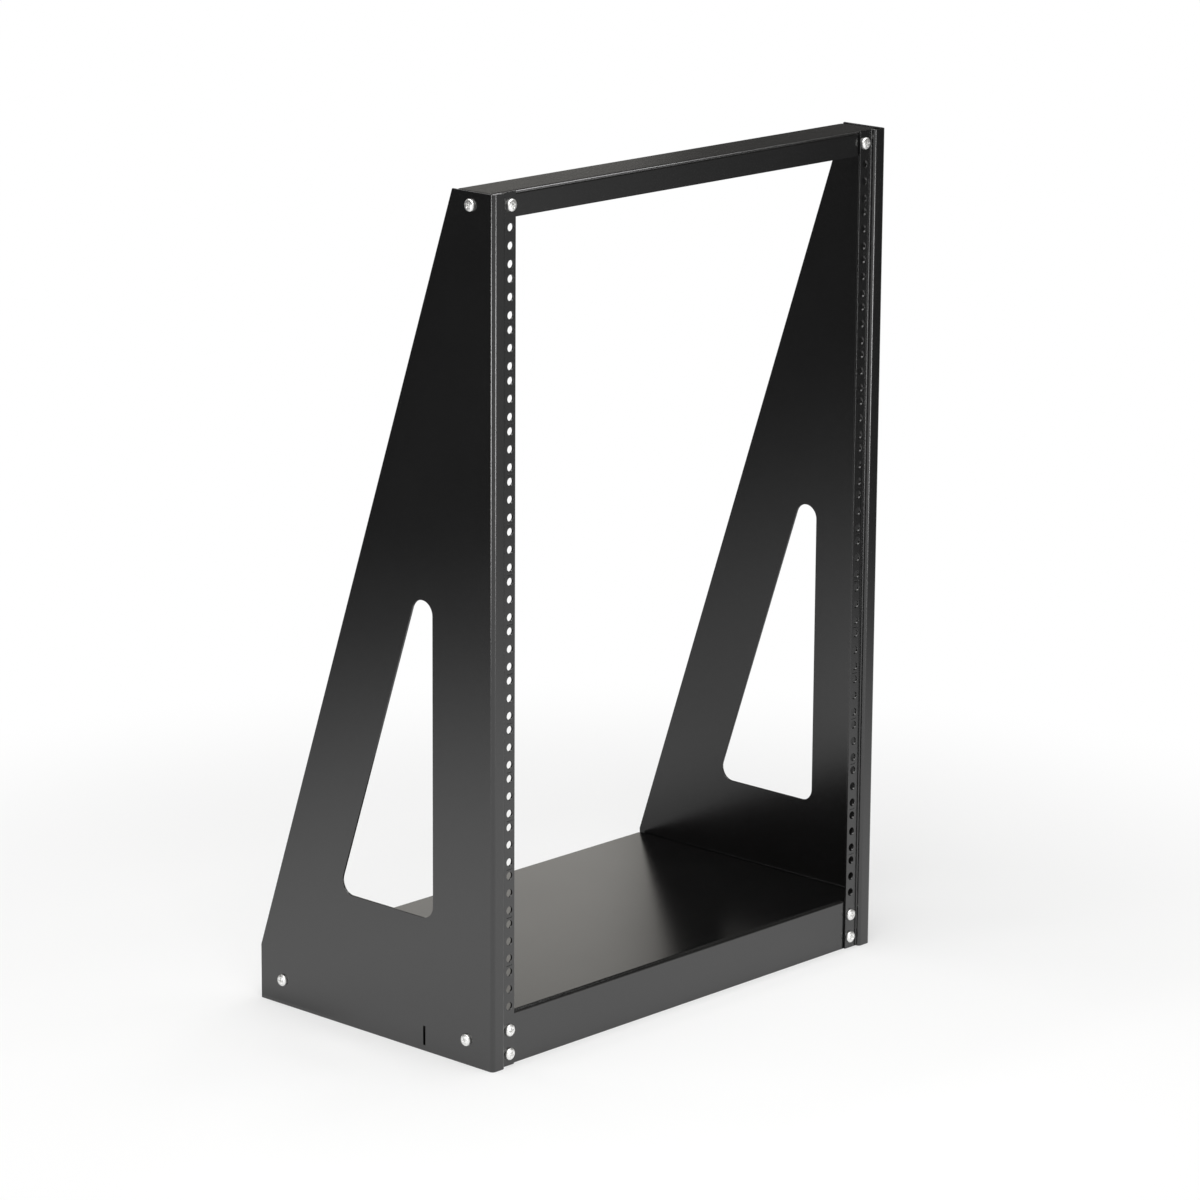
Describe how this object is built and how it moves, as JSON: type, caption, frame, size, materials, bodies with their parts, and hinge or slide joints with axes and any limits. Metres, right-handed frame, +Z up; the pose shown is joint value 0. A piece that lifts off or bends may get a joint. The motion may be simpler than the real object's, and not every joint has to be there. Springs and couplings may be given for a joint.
{
  "type": "two post open frame rack",
  "caption": "Open frame equipment rack: folded side panels with punched front rails, a base pan and a top beam, held by pan head screws in captive nuts.",
  "frame": {"origin": "on the floor at the middle of the frame's plan", "axes": "+X to the right seen from the front, +Y to the rear, +Z up; the rails face -Y"},
  "size_m": [0.5214, 0.298, 0.785],
  "materials": {
    "black_powder_coat": "satin black powder coat with a fine orange peel",
    "bright_zinc": "bright zinc plate",
    "dull_zinc": "clear zinc plate, slightly dull"
  },
  "bodies": {
    "root": {"left_side_panel": "black_powder_coat", "right_side_panel": "black_powder_coat", "base_pan": "black_powder_coat", "top_beam": "black_powder_coat", "front_screw_left_top": "bright_zinc", "front_screw_left_foot_high": "bright_zinc", "front_screw_left_foot_low": "bright_zinc", "front_screw_right_top": "bright_zinc", "front_screw_right_foot_high": "bright_zinc", "front_screw_right_foot_low": "bright_zinc", "side_screw_left_top": "bright_zinc", "side_screw_left_foot_front": "bright_zinc", "side_screw_left_foot_rear": "bright_zinc", "side_screw_right_top": "bright_zinc", "side_screw_right_foot_front": "bright_zinc", "side_screw_right_foot_rear": "bright_zinc", "front_nut_left_top": "dull_zinc", "front_nut_left_foot_high": "dull_zinc", "front_nut_left_foot_low": "dull_zinc", "front_nut_right_top": "dull_zinc", "front_nut_right_foot_high": "dull_zinc", "front_nut_right_foot_low": "dull_zinc", "side_nut_left_top": "dull_zinc", "side_nut_left_foot_front": "dull_zinc", "side_nut_left_foot_rear": "dull_zinc", "side_nut_right_top": "dull_zinc", "side_nut_right_foot_front": "dull_zinc", "side_nut_right_foot_rear": "dull_zinc"}
  },
  "joints": []
}
